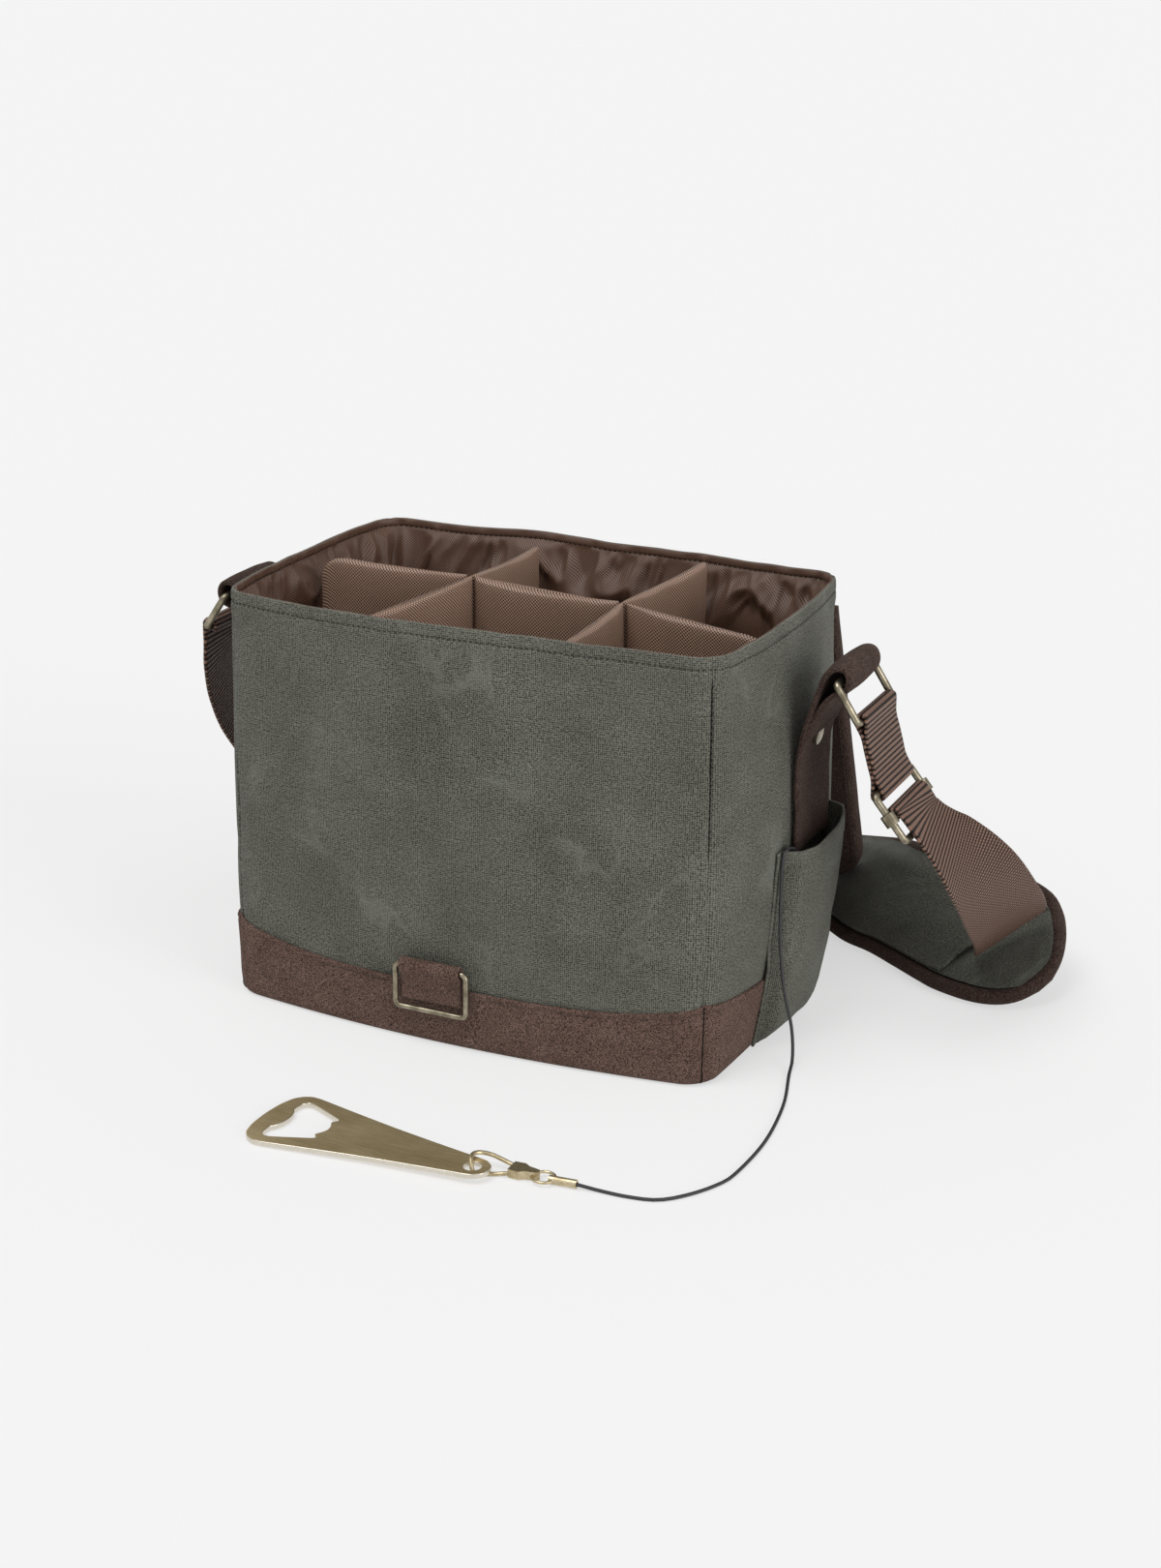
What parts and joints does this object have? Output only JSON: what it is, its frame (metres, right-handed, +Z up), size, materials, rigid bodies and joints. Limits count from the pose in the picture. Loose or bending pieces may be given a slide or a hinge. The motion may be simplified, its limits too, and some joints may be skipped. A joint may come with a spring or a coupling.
{
  "type": "insulated bottle carrier bag",
  "caption": "Soft insulated bottle bag with padded dividers, hinged lid, closure strap, padded shoulder strap on metal rings, side pocket and opener on a pull-out cord.",
  "frame": {"origin": "centre of the base where it rests on the floor", "axes": "+X to the pocket side, the bag's right seen from the front; -Y to the front; +Z up"},
  "size_m": [0.4856, 0.4756, 0.2317],
  "materials": {
    "canvas": "waxed canvas, matt with paler creases",
    "suede": "brushed faux suede",
    "lining": "coated nylon with a slight sheen",
    "webbing": "ribbed nylon webbing",
    "foam": "closed-cell foam",
    "board": "stiffener board",
    "brass": "brushed antique brass",
    "plastic": "moulded",
    "cord": "thin braided cord",
    "patch": "hook and loop"
  },
  "bodies": {
    "bag": {"outer_shell": "canvas", "foam_walls": "foam", "lining": "lining", "rim_facing": "lining", "base_trim": "suede", "base_board": "board", "pocket_pouch": "canvas", "anchor_band_right": "suede", "anchor_band_left": "suede", "band_rivet_right": "brass", "band_rivet_left": "brass", "front_tab": "suede", "hinge_tape": "suede", "reel_housing": "plastic", "reel_cover": "plastic", "cord": "cord", "ferrule": "brass", "link_ring": "brass", "clasp_body": "brass", "clasp_wire": "brass"},
    "dividers": {"divider_long": "lining", "divider_left": "lining", "divider_right": "lining"},
    "lid": {"lid_cover": "canvas", "lid_foam": "foam", "lid_lining": "lining", "lid_edge": "suede", "lid_hinge_flap": "canvas"},
    "closure": {"closure_strap": "webbing", "hook_patch": "patch", "loop_patch": "patch"},
    "strap": {"tongue_right": "suede", "tongue_left": "suede", "ring_right": "brass", "ring_left": "brass", "link_webbing": "webbing", "slider_frame": "brass", "slider_bar": "brass", "webbing_right": "webbing", "webbing_left": "webbing", "pad_face": "canvas", "pad_foam": "foam", "pad_back": "suede", "pad_sleeve": "canvas", "pad_binding": "suede"},
    "front_ring": {"front_ring": "brass"},
    "reel": {"reel_spool": "plastic"},
    "opener": {"opener": "brass"}
  },
  "joints": [
    {"name": "lid_hinge", "type": "hinge", "parent": "bag", "child": "lid", "pos_m": [0, 0.106, 0.2315], "axis": [-1, 0, 0], "range_deg": [-253, 0]},
    {"name": "closure_hinge", "type": "hinge", "parent": "lid", "child": "closure", "pos_m": [0, 0.16669, 0.0313], "axis": [1, 0, 0], "range_deg": [-92, 0]},
    {"name": "strap_swing", "type": "hinge", "parent": "bag", "child": "strap", "pos_m": [0, 0, 0.205], "axis": [-1, 0, 0], "range_deg": [-140, 0]},
    {"name": "front_ring_swing", "type": "hinge", "parent": "bag", "child": "front_ring", "pos_m": [-0.009, -0.1088, 0.046], "axis": [-1, 0, 0], "range_deg": [0, 150]},
    {"name": "divider_lift", "type": "slide", "parent": "bag", "child": "dividers", "axis": [0, 0, 1], "range_m": [0, 0.2]},
    {"name": "reel_spin", "type": "hinge", "parent": "bag", "child": "reel", "pos_m": [0.1642, -0.004, 0.084], "axis": [1, 0, 0], "continuous": true},
    {"name": "opener_swing", "type": "hinge", "parent": "bag", "child": "opener", "pos_m": [0.0749, -0.2256, 0.0043], "axis": [0, 0, 1], "range_deg": [-35, 35]}
  ]
}
